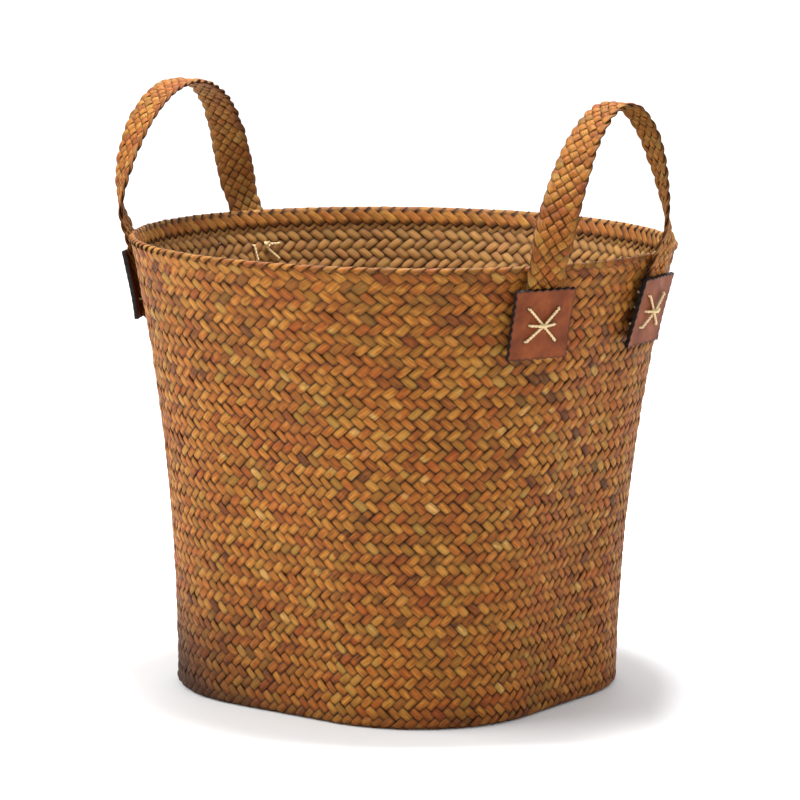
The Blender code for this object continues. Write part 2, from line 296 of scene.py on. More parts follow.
class Nodes:
    """Short calls for a material's node tree."""

    def __init__(self, name):
        self.material = bpy.data.materials.new(name)
        self.material.use_nodes = True
        self.tree = self.material.node_tree
        self.shader = self.tree.nodes["Principled BSDF"]

    def put(self, socket, value):
        if isinstance(value, bpy.types.NodeSocket):
            self.tree.links.new(value, socket)
        else:
            socket.default_value = value

    def field(self, name):
        node = self.tree.nodes.new("ShaderNodeAttribute")
        node.attribute_name = name
        return node.outputs["Fac"]

    def math(self, operation, a, b=0.0, clamp=False):
        node = self.tree.nodes.new("ShaderNodeMath")
        node.operation = operation
        node.use_clamp = clamp
        self.put(node.inputs[0], a)
        self.put(node.inputs[1], b)
        return node.outputs[0]

    def vector(self, x, y, z):
        node = self.tree.nodes.new("ShaderNodeCombineXYZ")
        for socket, value in zip(node.inputs, (x, y, z)):
            self.put(socket, value)
        return node.outputs[0]

    def noise(self, vector, scale, detail, roughness):
        node = self.tree.nodes.new("ShaderNodeTexNoise")
        self.put(node.inputs["Vector"], vector)
        node.inputs["Scale"].default_value = scale
        node.inputs["Detail"].default_value = detail
        node.inputs["Roughness"].default_value = roughness
        return node.outputs["Fac"]

    def remap(self, value, low, high, to_low, to_high):
        node = self.tree.nodes.new("ShaderNodeMapRange")
        for socket, v in zip(node.inputs, (value, low, high, to_low, to_high)):
            self.put(socket, v)
        return node.outputs[0]

    def ramp(self, value, stops):
        node = self.tree.nodes.new("ShaderNodeValToRGB")
        self.put(node.inputs[0], value)
        elements = node.color_ramp.elements
        while len(elements) < len(stops):
            elements.new(0.5)
        for element, (place, colour) in zip(elements, stops):
            element.position = place
            element.color = colour
        return node.outputs[0]

    def mix(self, factor, a, b):
        node = self.tree.nodes.new("ShaderNodeMix")
        node.data_type = "RGBA"
        self.put(node.inputs[0], factor)
        self.put(node.inputs[6], a)
        self.put(node.inputs[7], b)
        return node.outputs[2]

    def bump(self, height, distance, strength):
        node = self.tree.nodes.new("ShaderNodeBump")
        node.inputs["Strength"].default_value = strength
        node.inputs["Distance"].default_value = distance
        self.put(node.inputs["Height"], height)
        self.put(self.shader.inputs["Normal"], node.outputs[0])

    def place(self):
        return self.tree.nodes.new("ShaderNodeTexCoord").outputs["Object"]


TONES = [(0.00, srgb(66, 34, 14)), (0.12, srgb(98, 52, 18)), (0.28, srgb(130, 70, 22)),
         (0.45, srgb(149, 86, 26)), (0.62, srgb(167, 106, 36)), (0.78, srgb(182, 126, 52)),
         (0.90, srgb(148, 116, 50)), (1.00, srgb(192, 144, 78))]


def seagrass():
    """Dried, stained seagrass: fibres along each strand, and a tone of its own for each float."""
    n = Nodes("seagrass")
    along, across, identity = n.field("along"), n.field("across"), n.field("identity")
    fibres = n.noise(n.vector(n.math("MULTIPLY", along, 140.0), n.math("MULTIPLY", across, 4.2),
                              identity), 1.0, 3.0, 0.6)
    blotch = n.noise(n.vector(n.math("MULTIPLY", along, 70.0), n.math("MULTIPLY", across, 0.6),
                              n.math("ADD", identity, 31.0)), 1.0, 1.0, 0.5)
    tone = n.math("ADD", n.field("tone"), n.remap(fibres, 0.3, 0.7, -0.18, 0.18))
    tone = n.math("ADD", tone, n.remap(blotch, 0.3, 0.7, -0.12, 0.12), clamp=True)
    colour = n.ramp(tone, TONES)
    colour = n.mix(n.remap(fibres, 0.38, 0.62, 0.34, 0.0), colour, srgb(84, 44, 18))
    drift = n.noise(n.vector(n.math("MULTIPLY", along, 26.0), 0.0,
                             n.math("MULTIPLY", identity, 0.37)), 1.0, 1.0, 0.5)
    colour = n.mix(n.remap(drift, 0.50, 0.72, 0.0, 0.65), colour, srgb(122, 92, 32))
    colour = n.mix(n.remap(drift, 0.48, 0.26, 0.0, 0.55), colour, srgb(146, 66, 20))
    # Painted fill light: faces turned into the basket and the straps' undersides are painted paler
    # and lighter.
    colour = n.mix(n.math("MULTIPLY", n.field("inner"), 0.55), colour, srgb(160, 124, 76))
    # Painted shade where a strand dips under its neighbours and along its edges, from the depth
    # field.
    painted_crevice_shade = n.math("POWER", n.field("depth"), 1.1, clamp=True)
    colour = n.mix(n.math("MULTIPLY", painted_crevice_shade, 0.94), colour, srgb(38, 17, 5))
    # Painted shade along the floor, at one bottom corner, and over the rim and straps.
    n.put(n.shader.inputs["Base Color"], n.mix(n.field("painted_shade"), colour, srgb(52, 26, 10)))
    n.put(n.shader.inputs["Roughness"], n.remap(fibres, 0.3, 0.7, 0.72, 0.54))
    n.shader.inputs["Specular IOR Level"].default_value = 0.16
    n.bump(fibres, 0.0004, 0.8)
    return n.material


def leather():
    n = Nodes("patch_leather")
    grain = n.noise(n.place(), 900.0, 3.0, 0.6)
    cloud = n.noise(n.place(), 70.0, 3.0, 0.6)
    colour = n.ramp(cloud, [(0.30, srgb(94, 42, 13)), (0.52, srgb(114, 53, 17)),
                            (0.72, srgb(134, 66, 23))])
    colour = n.mix(n.remap(grain, 0.35, 0.65, 0.25, 0.0), colour, srgb(80, 34, 12))
    # Painted shade: near black along the leather's edges and round the stitch holes.
    colour = n.mix(n.field("edge"), colour, srgb(20, 11, 7))
    n.put(n.shader.inputs["Base Color"], colour)
    n.put(n.shader.inputs["Roughness"], n.remap(cloud, 0.3, 0.7, 0.62, 0.48))
    n.shader.inputs["Specular IOR Level"].default_value = 0.18
    n.bump(grain, 0.00025, 0.7)
    return n.material


def twine():
    n = Nodes("cream_twine")
    along, across, identity = n.field("along"), n.field("across"), n.field("identity")
    fibres = n.noise(n.vector(n.math("MULTIPLY", along, 500.0), n.math("MULTIPLY", across, 2.5),
                              identity), 1.0, 3.0, 0.6)
    colour = n.ramp(fibres, [(0.25, srgb(176, 142, 92)), (0.5, srgb(222, 198, 150)),
                             (0.75, srgb(242, 226, 186))])
    n.put(n.shader.inputs["Base Color"], colour)
    n.put(n.shader.inputs["Roughness"], n.remap(fibres, 0.3, 0.7, 0.9, 0.7))
    n.bump(fibres, 0.0002, 0.8)
    return n.material


def cane():
    n = Nodes("cane")
    streak = n.noise(n.place(), 160.0, 3.0, 0.6)
    n.put(n.shader.inputs["Base Color"], n.ramp(streak, [(0.3, srgb(84, 50, 22)),
                                                         (0.7, srgb(112, 72, 34))]))
    n.put(n.shader.inputs["Roughness"], n.remap(streak, 0.3, 0.7, 0.8, 0.65))
    n.shader.inputs["Specular IOR Level"].default_value = 0.1
    return n.material


# ---------------------------------------------------------------- wall

def float_tones(count, floats):
    """A tone for each float: its strand's own, with changes from float to float."""
    strand = np.clip(RNG.normal(0.47, 0.08, (count, 1)), 0.1, 0.9)
    change = RNG.normal(0, 0.06, (count, floats))
    change = change + wander(count, floats, max(2, floats // 3), 0.13)
    odd = RNG.random((count, floats))
    tones = strand + change
    tones = np.where(odd < 0.012, 0.14, tones)
    tones = np.where(odd > 0.98, RNG.uniform(0.8, 1.0, (count, floats)), tones)
    return np.clip(tones, 0.02, 1.0)


def wall_strands(rising):
    """Every strand of one set, as points and fields. Rising strands go up to the right."""
    per_row = 3
    first = -ROW_SHIFT + (BOTTOM_BEND - BOTTOM_BEND * math.pi / 2 - BOTTOM_TUCK) / ROW
    last = (RIM_TOP + RIM_BEND * math.pi + 0.0042) / ROW - ROW_SHIFT if rising else RIM_ROW + 0.6
    x = np.linspace(first, last, int((last - first) * per_row))
    count, stations = STRANDS, len(x)
    knots = stations // 9
    side = wander(count, stations, stations // 12, 0.07)
    width = np.maximum(STRAND_FILL * (1 + wander(count, stations, knots, 0.09)), 1.0)
    width = width * (1 + 0.13 * smoothstep(RIM_ROW - 5, RIM_ROW - 3, x))
    roll = wander(count, stations, stations // 6, 0.30)
    swell = 1 + wander(count, stations, knots, 0.14)
    lift = wander(count, stations, stations // 5, 0.00020)
    floats = float_tones(count, int(last - first) // 4 + 3)

    lane = RING[:, 0] * 0.5
    crown = RING[:, 1]
    strands, fields = [], []
    for k in range(count):
        across = (side[k] + 0 * x)[:, None] + width[k][:, None] * lane
        sense = 1 if rising else -1
        row = x[:, None] - sense * across
        turn = (k + (across + sense * x[:, None]) / 2) / STRANDS
        q = (row + ROW_SHIFT) * ROW
        wave = soft(np.cos(math.pi / 2 * (x - 0.5))) * sense
        centre = -WEAVE_DEPTH + WEAVE_SWING * wave + lift[k]
        thick = STRAND_THICK / 2 * swell[k]
        tilt = roll[k]
        if rising:
            rim = smoothstep(RIM_ROW - 0.6, RIM_ROW + 0.6, x)
            tuck = smoothstep(last - 1.6, last - 0.4, x)
            centre = centre * (1 - rim) + (0.0007 - 0.0010 * tuck) * rim
            thick = thick * (1 - 0.2 * rim)
            tilt = tilt + 0.30 * rim
            wave = wave * (1 - rim) + rim * (1 - 1.4 * tuck)
        offset = centre[:, None] + thick[:, None] * crown + 0.001 * tilt[:, None] * RING[:, 0]
        strands.append(weave_point(turn, q, offset))

        # inner marks faces turned into the basket, which the material paints lighter as painted
        # fill light
        inner = (crown < -0.1) * np.ones_like(row)
        if rising:
            folded = smoothstep(0.8, 2.2, (q - RIM_TOP) / RIM_BEND)
            inner = np.where(q > RIM_TOP, folded * 0.6, inner)
        facing = np.where(inner > 0.5, -wave[:, None], wave[:, None])
        if rising:
            facing = np.where(q > RIM_TOP, wave[:, None], facing)
        # painted shade: darker where the strand goes under and along its edges
        depth = smoothstep(0.78, 0.0, facing) + 0.85 * smoothstep(0.62, 0.95, np.abs(RING[:, 0]))
        number = np.clip((x - first) / 4, 0, floats.shape[1] - 1).astype(int)
        along = x * ROW * STRAND_RUN
        fields.append(strand_fields(along[:, None], RING[:, 0], k * 7.31 + 3 * rising,
                                    floats[k][number][:, None], np.clip(depth, 0, 1), inner))
    return strands, fields


def rim_hem():
    """Short floats inside the rim, where the strands' ends are tucked back into the wall."""
    stations = 18
    strands, fields = [], []
    x = np.linspace(RIM_ROW - 2.9, RIM_ROW + 0.2, stations)
    for k in range(STRANDS):
        across = RING[:, 0] * 0.5 * 1.08
        row = x[:, None] - across
        turn = (k + 0.35 + (across + x[:, None]) / 2) / STRANDS
        q = (row + ROW_SHIFT) * ROW
        show = (smoothstep(RIM_ROW - 2.8, RIM_ROW - 2, x)
                * (1 - smoothstep(RIM_ROW - 0.7, RIM_ROW, x)))
        centre = -0.0036 - 0.0009 * show + RNG.normal(0, 0.0001)
        tilt = 0.00025 + RNG.normal(0, 0.0001)
        offset = centre[:, None] + 0.0006 * RING[:, 1] + tilt * RING[:, 0]
        strands.append(offset_point(turn, q, offset))
        # painted shade over the hem where it goes into the wall, and along its edges
        depth = 1 - show[:, None] + 0.5 * smoothstep(0.8, 1.0, np.abs(RING[:, 0]))
        tone = np.clip(RNG.normal(0.5, 0.14), 0.1, 0.9)
        # the hem's inner value of 0.25 paints it a little lighter as painted fill light
        fields.append(strand_fields((x * ROW * STRAND_RUN)[:, None], RING[:, 0], k * 5.17,
                                    tone, np.clip(depth, 0, 1), 0.25))
    return strands, fields


def build_wall(material):
    pieces = []
    for rising, title in ((True, "rising"), (False, "falling")):
        strands, fields = wall_strands(rising)
        for group in range(WALL_PIECES):
            share = slice(group, None, WALL_PIECES)
            pieces.append(strand_mesh(f"wall_{title}_strands_{group + 1}", strands[share],
                                      fields[share], material))
    for piece in pieces:
        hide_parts("wall")
    hem = strand_mesh("rim_hem_strands", *rim_hem(), material)
    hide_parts("rim_border")
    for piece in pieces[:WALL_PIECES]:
        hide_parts("rim_border")


# ---------------------------------------------------------------- base

MAT_LANE = 0.0055        # from one strand of the mat to the next
MAT_HALF = BASE_HALF - 0.0045
MAT_CORNER = BASE_CORNER - 0.0045


def inside_mat(x, y):
    """How far inside the base mat's outline a point is."""
    flat = MAT_HALF - MAT_CORNER
    dx, dy = np.abs(x) - flat, np.abs(y) - flat
    outside = np.hypot(np.maximum(dx, 0), np.maximum(dy, 0)) + np.minimum(np.maximum(dx, dy), 0)
    return MAT_CORNER - outside


def base_strands(set_index):
    """The base mat's strands in one direction, at 45 degrees to its sides."""
    half_turn = math.sqrt(0.5)
    reach = 0.17
    number = int(reach / MAT_LANE)
    sense = 1 if set_index == 0 else -1
    strands, fields = [], []
    for k in range(-number, number + 1):
        fine = np.linspace(-reach, reach, 680)
        lane = k * MAT_LANE
        x = (lane - sense * fine) * half_turn
        y = (lane * sense + fine) * half_turn
        if set_index:
            x, y = (fine + lane) * half_turn, (fine - lane) * half_turn
        kept = fine[inside_mat(x, y) > 0.0015]
        if len(kept) < 24:
            continue
        t = np.linspace(kept[0], kept[-1], int((kept[-1] - kept[0]) / MAT_LANE * 2.5) + 2)
        across = RING[:, 0] * 0.5 * MAT_LANE * STRAND_FILL
        a = lane + across[None, :] + RNG.normal(0, 0.0001)
        b = t[:, None] + 0 * across
        if set_index == 0:
            x, y = (a - b) * half_turn, (a + b) * half_turn
        else:
            x, y = (b + a) * half_turn, (b - a) * half_turn
        # Index of each crossing along the strand, measured in the other set's lanes.
        other = t / MAT_LANE
        phase = k - sense * other
        wave = soft(np.cos(math.pi / 2 * (phase - 0.5))) * sense
        edge = inside_mat(x, y)
        height = 0.0019 + 0.0030 * smoothstep(0.013, 0.0075, edge)
        z = height + (0.00075 * wave)[:, None] + 0.0007 * RING[:, 1]
        strands.append(np.stack([x, y, z], -1))
        below = RING[:, 1] < -0.1
        facing = np.where(below, -wave[:, None], wave[:, None])
        # painted shade: darker where a base strand goes under and along its edges
        depth = smoothstep(0.6, -0.4, facing) + 0.5 * smoothstep(0.8, 1.0, np.abs(RING[:, 0]))
        tone = np.clip(RNG.normal(0.44, 0.12) + RNG.normal(0, 0.05, len(t)), 0.05, 0.95)
        # the base's top faces, turned into the basket, are painted lighter as painted fill light
        inner = np.where(below, 0.1, 0.8) * np.ones_like(z)
        fields.append(strand_fields(t[:, None], RING[:, 0], k * 3.77 + set_index,
                                    tone[:, None], np.clip(depth, 0, 1), inner))
    return strands, fields


def build_base(material):
    for set_index, title in enumerate(("one", "two")):
        piece = strand_mesh(f"base_strands_{title}", *base_strands(set_index), material)
        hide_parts("base_mat")


# ---------------------------------------------------------------- strap handles

BRAID = 7                # strands in a strap
BRAID_PITCH = 0.065      # length of strap in which one strand goes across and back
BRAID_WIDTH = 0.0067
BRAID_THICK = 0.0017
BRAID_SWING = 0.00095
BRAID_EDGE = 1.20        # more than 1 makes the strands run along the edge before they turn
BRAID_SHARP = 0.985      # how sharply a strand turns at the strap's edge
BRAID_STEP = 0.0011      # from one cross section of a strand to the next
BRAID_FLOAT = 0.0125     # length of strand that has one tone


def handle_axes(handle):
    radial = np.array([math.cos(handle.bearing), math.sin(handle.bearing), 0])
    tangent = np.array([-math.sin(handle.bearing), math.cos(handle.bearing), 0])
    return radial, tangent


def foot_turn(handle, end, z):
    share = (z - PATCH_Z) / (HINGE_Z - PATCH_Z)
    angle = handle.bearing + handle.patch_lead * (1 - share) + end * handle.spread
    return angle / (2 * math.pi)


def foot_point(handle, end, z, offset=0.0):
    z = np.asarray(z, float)
    turn = foot_turn(handle, end, z) + offset / perimeter(z)
    return offset_point(turn, z, STRAP_OUT + 0 * z)


def hinge_point(handle):
    return (foot_point(handle, -1, HINGE_Z) + foot_point(handle, 1, HINGE_Z)) / 2


def strap_path(handle):
    """The whole strap's middle line, foot to foot: lengths, points, directions and widths."""
    radial, tangent = handle_axes(handle)
    low = PATCH_Z - PATCH_HEIGHT / 2 + 0.002
    heights = np.linspace(low, HINGE_Z, 90)
    feet, widths = {}, {}
    for end in (-1, 1):
        feet[end] = foot_point(handle, end, heights)
        step = 0.002
        across = foot_point(handle, end, heights, step) - foot_point(handle, end, heights, -step)
        widths[end] = unit(across) * -end
    v = np.linspace(-1, 1, 320)[1:-1, None]
    end = np.where(v < 0, -1, 1)
    t = 1 - np.abs(v)
    apex = (hinge_point(handle) + radial * handle.lean + tangent * handle.slide
            + np.array([0, 0, handle.rise]))
    foot = np.where(v < 0, feet[-1][-1], feet[1][-1])
    rises = {e: unit(feet[e][-1] - foot_point(handle, e, HINGE_Z - 0.002)) for e in (-1, 1)}
    rise = np.where(v < 0, rises[-1], rises[1])
    centre = (foot * (1 - t) ** 3 + (foot + rise * handle.foot_pull) * 3 * (1 - t) ** 2 * t
              + (apex + tangent * end * handle.apex_pull) * 3 * (1 - t) * t ** 2 + apex * t ** 3)
    turned = -end * (math.pi / 2 - handle.spread) * np.abs(v) ** TWIST_POWER
    width = radial * np.cos(turned) + tangent * np.sin(turned)

    points = np.concatenate([feet[-1], centre, feet[1][::-1]])
    width = np.concatenate([widths[-1], width, widths[1][::-1]])
    size = APEX_WIDTH + (FOOT_WIDTH - APEX_WIDTH) * np.abs(v[:, 0])
    size = np.pad(size, len(heights), constant_values=FOOT_WIDTH)
    gone = np.r_[0, np.cumsum(np.linalg.norm(np.diff(points, axis=0), axis=1))]
    even = np.linspace(0, gone[-1], 860)
    points = np.stack([np.interp(even, gone, points[:, k]) for k in range(3)], -1)
    width = np.stack([np.interp(even, gone, width[:, k]) for k in range(3)], -1)
    size = np.interp(even, gone, size)
    kernel = np.exp(-0.5 * (np.arange(-18, 19) / 7.0) ** 2)
    kernel /= kernel.sum()

    def smoothed(values, odd):
        """Gaussian smoothing that keeps the ends where they are."""
        n = len(kernel) // 2
        head, tail = values[1:n + 1][::-1], values[-n - 1:-1][::-1]
        if odd:
            head, tail = 2 * values[0] - head, 2 * values[-1] - tail
        padded = np.concatenate([head, values, tail])
        return np.stack([np.convolve(padded[:, k], kernel, "valid") for k in range(3)], -1)

    points, width = smoothed(points, True), smoothed(width, False)
    heading = unit(np.gradient(points, axis=0))
    width = unit(width - heading * np.sum(width * heading, -1, keepdims=True))
    return even, points, width, np.cross(width, heading), size


def braid_height(phase):
    """Over or under, from 1 to -1, for a strand of a plain braid at this phase of its zigzag."""
    phase = np.mod(phase + math.pi / 2, 2 * math.pi)
    returning = phase > math.pi
    cells = np.where(returning, phase - math.pi, math.pi - phase) * BRAID / math.pi
    wave = -np.cos(math.pi * cells)
    wave = np.where(cells < 1, np.sin(math.pi * cells / 2), wave)
    wave = np.where(cells > BRAID - 1, -np.sin(math.pi * (BRAID - cells) / 2), wave)
    return np.where(returning, -wave, wave)


def edge_run(zigzag):
    """The zigzag with its points cut off, so that each strand runs along the edge a little."""
    steep = BRAID_EDGE * zigzag
    return np.sign(steep) * (1 - np.log1p(np.exp((1 - np.abs(steep)) * 14)) / 14)


def strap_strands(handle):
    """A strap's strands. Each zigzags from edge to edge, over one neighbour and under the next."""
    gone, points, width, outside, size = strap_path(handle)
    stations = int(gone[-1] / BRAID_STEP)
    y = np.linspace(0.0004, gone[-1] - 0.0004, stations)
    scale = np.interp(y, gone, size) / FOOT_WIDTH
    reach = (FOOT_WIDTH / 2 - BRAID_WIDTH / 2 + 0.0002) * scale
    side_way = wander(BRAID, stations, stations // 14, 0.00022)
    fat = 1 + wander(BRAID, stations, stations // 14, 0.06)
    lift = wander(BRAID, stations, stations // 9, 0.00018)
    roll = wander(BRAID, stations, stations // 12, 0.00022)
    strands, fields = [], []
    for k in range(BRAID):
        phase = 2 * math.pi * (y / BRAID_PITCH + k / BRAID)
        zigzag = np.arcsin(BRAID_SHARP * np.sin(phase)) / math.asin(BRAID_SHARP)
        zigzag = edge_run(zigzag)
        x = reach * zigzag + side_way[k]
        slope = np.gradient(x, y)
        length = np.hypot(slope, 1)
        wave = soft(braid_height(phase), 1.4)
        a = BRAID_WIDTH / 4 * ((1 + scale) * fat[k])[:, None] * RING[:, 0]
        px = x[:, None] + a / length[:, None]
        py = y[:, None] - a * (slope / length)[:, None]
        py = np.clip(py, 0.0001, gone[-1] - 0.0001)
        height = (BRAID_SWING * wave + lift[k])[:, None] + BRAID_THICK / 2 * RING[:, 1]
        height = height + roll[k][:, None] * RING[:, 0]
        at = [np.interp(py, gone, column) for column in
              np.concatenate([points, width, outside], 1).T]
        centre, wide, out = (np.stack(at[n:n + 3], -1) for n in (0, 3, 6))
        strands.append(centre + wide * px[..., None] + out * height[..., None])
        below = RING[:, 1] < -0.1
        # painted shade: darker where a strand goes under, where it turns at the strap's edge, and
        # along its edges
        facing = np.where(below, -wave[:, None], wave[:, None])
        edge = smoothstep(0.90, 1.0, np.abs(zigzag))[:, None]
        depth = smoothstep(0.7, -0.3, facing) * (1 - edge) + 0.35 * edge
        depth = depth + 0.85 * smoothstep(0.72, 1.0, np.abs(RING[:, 0]))
        travelled = np.cumsum(length) * (y[1] - y[0])
        floats = np.clip(RNG.normal(0.56, 0.13, int(gone[-1] / 0.008) + 2), 0.1, 1.0)
        number = (travelled / BRAID_FLOAT).astype(int) % len(floats)
        # the strap's undersides are painted a little lighter as painted fill light
        inner = np.where(below, 0.35, 0.0) * np.ones_like(px)
        fields.append(strand_fields(travelled[:, None], RING[:, 0], k * 9.1 + handle.bearing,
                                    floats[number][:, None], np.clip(depth, 0, 1), inner))
    return strands, fields


def build_straps(material):
    for handle, name in ((RIGHT, "right"), (LEFT, "left")):
        strap = strand_mesh(f"{name}_strap", *strap_strands(handle), material, body=None)
        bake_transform(strap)
        ends = ("front", "back")
        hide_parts(f"{name}_handle", *(f"{name}_{e}_strap_end" for e in ends))


# ---------------------------------------------------------------- patches and stitches

PATCH_GRID = 64          # cells along each side of a patch
PINK_DEPTH = 0.0005      # half the depth of the pinked edge's teeth
PINK_PITCH = 0.0058
TWINE_LOOK_RADIUS = 0.00098
TWINE_TWIST = 0.0052     # length of one turn of the plies
KNOT_TWIST = 0.004

FEET = [(RIGHT, -1, "right_front"), (RIGHT, 1, "right_back"),
        (LEFT, -1, "left_back"), (LEFT, 1, "left_front")]


def stitch_holes():
    c = CROSS_HALF
    return {"top_left": (-c, c), "top_right": (c, c), "bottom_left": (-c, -c),
            "bottom_right": (c, -c), "bar_left": (-BAR_HALF, 0), "bar_right": (BAR_HALF, 0)}


def build_patch(handle, end, place, material):
    """A leather square with pinked edges, lying on the strap's end and clear of the wall."""
    turn = float(foot_turn(handle, end, PATCH_Z))
    _, _, up, _ = wall_frame(turn, PATCH_Z)
    s = np.linspace(-1, 1, PATCH_GRID + 1)
    a, b = np.meshgrid(s, s)
    shape = RNG.normal(0, 0.00025, 4)
    ripple_b = np.cos(b * PATCH_HEIGHT / 2 * 2 * math.pi / PINK_PITCH)
    ripple_a = np.cos(a * PATCH_WIDTH / 2 * 2 * math.pi / PINK_PITCH)
    x = (a * (PATCH_WIDTH / 2 - PINK_DEPTH) + PINK_DEPTH * ripple_b * a ** 9
         + shape[0] * b * a ** 2)
    y = (b * (PATCH_HEIGHT / 2 - PINK_DEPTH) + PINK_DEPTH * ripple_a * b ** 9
         + shape[1] * a * b ** 2)
    nearest = np.min([np.hypot(x - hx, y - hy) for hx, hy in stitch_holes().values()], axis=0)
    lift = 0.0009 * np.abs(a) ** 3 + 0.0003 * np.abs(b) ** 4 + 0.0002 * np.sin(5 * a + 3 * b + end)
    lift = lift - 0.00035 * np.exp(-(nearest / 0.0024) ** 2)
    z = PATCH_Z + y * up[2]
    grid = offset_point(turn + x / perimeter(z), z, PATCH_OUT + lift)
    mesh = bpy.data.meshes.new(f"{place}_leather")
    index = np.arange((PATCH_GRID + 1) ** 2).reshape(PATCH_GRID + 1, PATCH_GRID + 1)
    faces = np.stack([index[:-1, :-1], index[:-1, 1:], index[1:, 1:], index[1:, :-1]], -1)
    mesh.from_pydata(grid.reshape(-1, 3).tolist(), [], faces.reshape(-1, 4).tolist())
    # painted shade along the patch's edges and round the stitch holes, carried by the edge field
    rim = np.maximum(np.abs(a), np.abs(b))
    edge = smoothstep(0.955, 0.995, rim) + 0.75 * np.exp(-(nearest / 0.0016) ** 2)
    values = np.clip(edge, 0, 1).astype(np.float32).ravel()
    mesh.attributes.new("edge", "FLOAT", "POINT").data.foreach_set("value", values)
    mesh.shade_smooth()
    mesh.materials.append(material)
    obj = bpy.data.objects.new(f"{place}_leather_patch", mesh)
    bpy.context.scene.collection.objects.link(obj)
    solid = obj.modifiers.new("thickness", "SOLIDIFY")
    solid.thickness = PATCH_THICKNESS
    solid.offset = 0.0
    drill = patch_drill(handle, end, place)
    boolean = obj.modifiers.new("holes", "BOOLEAN")
    boolean.operation = "DIFFERENCE"
    boolean.object = drill
    bevel = obj.modifiers.new("soft edge", "BEVEL")
    bevel.width = 0.00045
    bevel.segments = 2
    bevel.limit_method = "ANGLE"
    bevel.angle_limit = math.radians(50)
    apply_modifiers(obj)
    bpy.data.objects.remove(drill)
    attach(obj, "root")
    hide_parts(f"{place}_patch")


def apply_modifiers(obj):
    """Turns what the modifiers show into the object's own mesh."""
    bpy.context.view_layer.update()
    depsgraph = bpy.context.evaluated_depsgraph_get()
    mesh = bpy.data.meshes.new_from_object(obj.evaluated_get(depsgraph),
                                           preserve_all_data_layers=True, depsgraph=depsgraph)
    obj.modifiers.clear()
    obj.data = mesh


def patch_drill(handle, end, place):
    """Six pins that cut the stitch holes."""
    centre, across, up, outward = wall_frame(float(foot_turn(handle, end, PATCH_Z)), PATCH_Z)
    bm = bmesh.new()
    turned = Vector(outward).to_track_quat("Z", "Y").to_matrix()
    for x, y in stitch_holes().values():
        made = bmesh.ops.create_cone(bm, cap_ends=True, segments=14, radius1=HOLE_RADIUS,
                                     radius2=HOLE_RADIUS, depth=0.012)
        spot = Vector(centre + across * x + up * y + outward * PATCH_OUT)
        for vert in made["verts"]:
            vert.co = turned @ vert.co + spot
    mesh = bpy.data.meshes.new(f"{place}_drill")
    bm.to_mesh(mesh)
    bm.free()
    drill = bpy.data.objects.new(f"{place}_drill", mesh)
    bpy.context.scene.collection.objects.link(drill)
    return drill


def smooth_curve(corners, spacing, softness):
    """Evenly spaced points along straight runs between corners, with the corners rounded."""
    corners = np.array(corners)
    gone = np.r_[0, np.cumsum(np.linalg.norm(np.diff(corners, axis=0), axis=1))]
    fine = np.linspace(0, gone[-1], int(gone[-1] / 0.0001))
    path = np.stack([np.interp(fine, gone, corners[:, k]) for k in range(3)], -1)
    reach = int(softness / 0.0001)
    kernel = np.hanning(2 * reach + 1)
    kernel /= kernel.sum()
    padded = np.concatenate([np.repeat(path[:1], reach, 0), path, np.repeat(path[-1:], reach, 0)])
    path = np.stack([np.convolve(padded[:, k], kernel, "valid") for k in range(3)], -1)
    return path[::max(1, int(spacing / 0.0001))]


def twisted_twine(path, radius, pitch):
    """Two plies twisted along a path, as strands."""
    heading = unit(np.gradient(path, axis=0))
    normal = np.zeros_like(path)
    guide = np.array([0.31, 0.17, 0.93])
    for k, h in enumerate(heading):
        guide = guide - h * guide.dot(h)
        guide /= np.linalg.norm(guide)
        normal[k] = guide
    binormal = np.cross(heading, normal)
    gone = np.r_[0, np.cumsum(np.linalg.norm(np.diff(path, axis=0), axis=1))]
    ring = 8
    around = np.arange(ring) * 2 * math.pi / ring
    strands, fields = [], []
    for ply in (0, 1):
        angle = 2 * math.pi * gone / pitch + math.pi * ply
        core = path + radius * 0.5 * (normal * np.cos(angle)[:, None]
                                      + binormal * np.sin(angle)[:, None])
        size = radius * 0.56
        loop = (normal[:, None] * np.cos(around)[None, :, None]
                + binormal[:, None] * np.sin(around)[None, :, None])
        strands.append(core[:, None] + size * loop)
        fields.append(strand_fields(gone[:, None], around - math.pi, ply * 3.3, 0.5, 0.0, 0.0))
    return strands, fields


def stitch_corners(handle, end):
    """Corners of one length of twine, an X and then a bar over it, and the place of its knot."""
    centre, across, up, outward = wall_frame(float(foot_turn(handle, end, PATCH_Z)), PATCH_Z)
    front = PATCH_OUT + PATCH_THICKNESS / 2 + 0.0003 + TWINE_RADIUS
    holes = stitch_holes()

    def at(hole, depth):
        x, y = holes[hole]
        return centre + across * x + up * y + outward * depth

    def crossing(level):
        return centre + outward * (front + level * TWINE_STEP * 0.85)

    tie, back = KNOT_RADIUS + TWINE_RADIUS, STITCH_BACK
    left = centre + up * CROSS_HALF - across * tie + outward * back
    below = centre + up * (CROSS_HALF - tie) + outward * back
    knot = centre + up * CROSS_HALF + outward * (back - KNOT_RADIUS / 3)
    corners = [left, at("top_left", back), at("top_left", front),
               at("bottom_right", front), at("bottom_right", back), at("bottom_left", back),
               at("bottom_left", front), crossing(1), at("top_right", front),
               at("top_right", back), at("bar_right", back), at("bar_right", front),
               crossing(2), at("bar_left", front), at("bar_left", back), below]
    return corners, knot, (across, up, outward)


